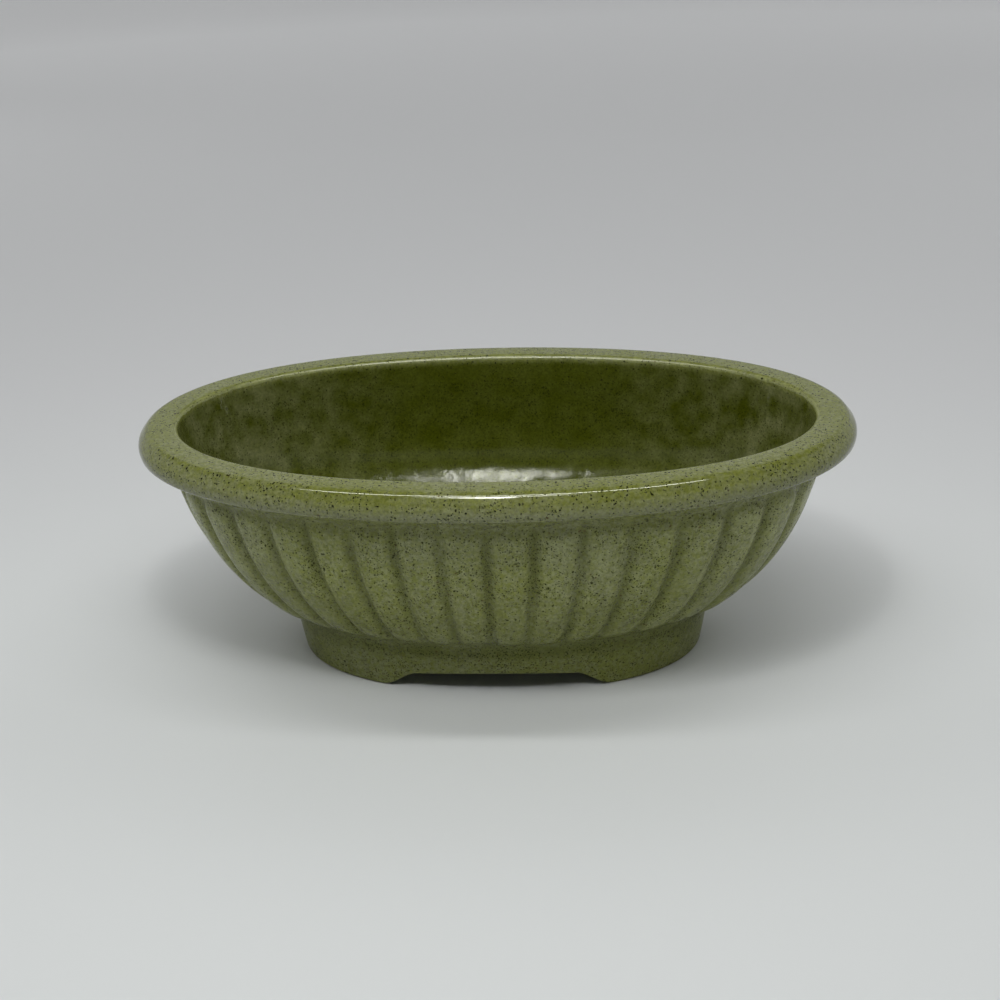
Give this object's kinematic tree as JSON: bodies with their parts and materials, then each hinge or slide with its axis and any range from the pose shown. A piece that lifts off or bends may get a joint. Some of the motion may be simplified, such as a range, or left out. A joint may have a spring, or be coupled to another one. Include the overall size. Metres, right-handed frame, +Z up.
{
  "type": "oval planter bowl",
  "caption": "Oval glazed ceramic planter bowl with a thick rolled rim, upright rounded lobes round a flaring wall, and a foot ring arched on its long sides.",
  "frame": {"origin": "on the ground under the middle of the bowl", "axes": "+X along the bowl's length, -Y towards the front in the picture, +Z up"},
  "size_m": [0.25, 0.142, 0.088],
  "materials": {
    "outer_glaze": "satin sage green glaze with fine dark specks, darker where it pools in the grooves",
    "inner_glaze": "glossy olive green glaze, thicker and darker than outside, with soft specks",
    "rim_glaze": "satin sage green glaze with fine dark specks, paler where it breaks over the edges",
    "foot_glaze": "satin sage green glaze with fine dark specks, wiped off the faces that stand on the ground"
  },
  "bodies": {
    "root": {"fluted_wall": "outer_glaze", "bowl_floor": "inner_glaze", "rim_band": "rim_glaze", "foot_ring": "foot_glaze"}
  },
  "joints": []
}
